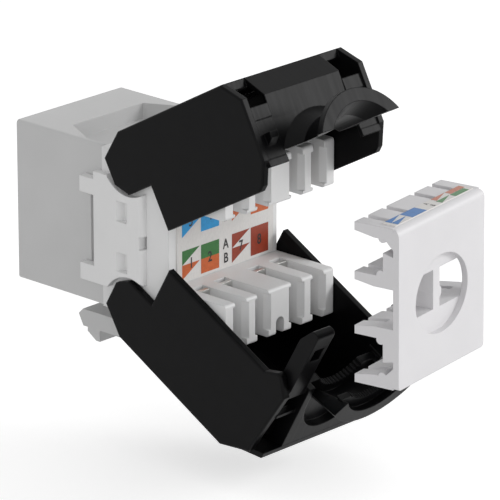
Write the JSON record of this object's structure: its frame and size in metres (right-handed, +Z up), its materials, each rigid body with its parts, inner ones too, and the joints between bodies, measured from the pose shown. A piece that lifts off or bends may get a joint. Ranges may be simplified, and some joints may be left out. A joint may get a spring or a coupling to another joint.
{
  "type": "keystone jack",
  "caption": "Modular network socket for a keystone opening, with slotted wire towers, black clamshell doors shown open and its wire cap taken off.",
  "frame": {"origin": "centre of the port face, where the plug goes in", "axes": "+X across the jack, +Y from the port face towards the cable side, +Z up from the latch side to the fixed lug's side"},
  "size_m": [0.0166, 0.0485, 0.0356],
  "materials": {
    "jack_plastic": "light grey-white, satin",
    "block_plastic": "white, satin",
    "cap_plastic": "white, satin",
    "door_plastic": "black, fine satin",
    "insert_plastic": "white, satin",
    "board": "green, smooth",
    "label": "printed paper label",
    "cap_sticker": "printed paper label",
    "contact_gold": "gold-plated, bright",
    "terminal_tin": "tin-plated, satin"
  },
  "bodies": {
    "jack": {"front_housing": "jack_plastic", "contact_block": "insert_plastic", "circuit_board": "board", "idc_block": "block_plastic", "wiring_label": "label", "wire_cap": "cap_plastic", "cap_label": "cap_sticker", "contact_wire_1": "contact_gold", "contact_wire_2": "contact_gold", "contact_wire_3": "contact_gold", "contact_wire_4": "contact_gold", "contact_wire_5": "contact_gold", "contact_wire_6": "contact_gold", "contact_wire_7": "contact_gold", "contact_wire_8": "contact_gold", "idc_terminal_1": "terminal_tin", "idc_terminal_2": "terminal_tin", "idc_terminal_3": "terminal_tin", "idc_terminal_4": "terminal_tin", "idc_terminal_5": "terminal_tin", "idc_terminal_6": "terminal_tin", "idc_terminal_7": "terminal_tin", "idc_terminal_8": "terminal_tin"},
    "latch": {"latch_arm": "jack_plastic"},
    "upper_door": {"upper_door": "door_plastic"},
    "lower_door": {"lower_door": "door_plastic"}
  },
  "joints": [
    {"name": "latch_flex", "type": "hinge", "parent": "jack", "child": "latch", "pos_m": [0, 0.0121, -0.0087], "axis": [-1, 0, 0], "range_deg": [0, 16], "stiffness_Nm_per_rad": 0.02},
    {"name": "upper_door_hinge", "type": "hinge", "parent": "jack", "child": "upper_door", "pos_m": [0, 0.01575, 0.00745], "axis": [1, 0, 0], "range_deg": [-29, 16]},
    {"name": "lower_door_hinge", "type": "hinge", "parent": "jack", "child": "lower_door", "pos_m": [0, 0.01575, -0.00745], "axis": [-1, 0, 0], "range_deg": [-29.5, 15.5]}
  ]
}
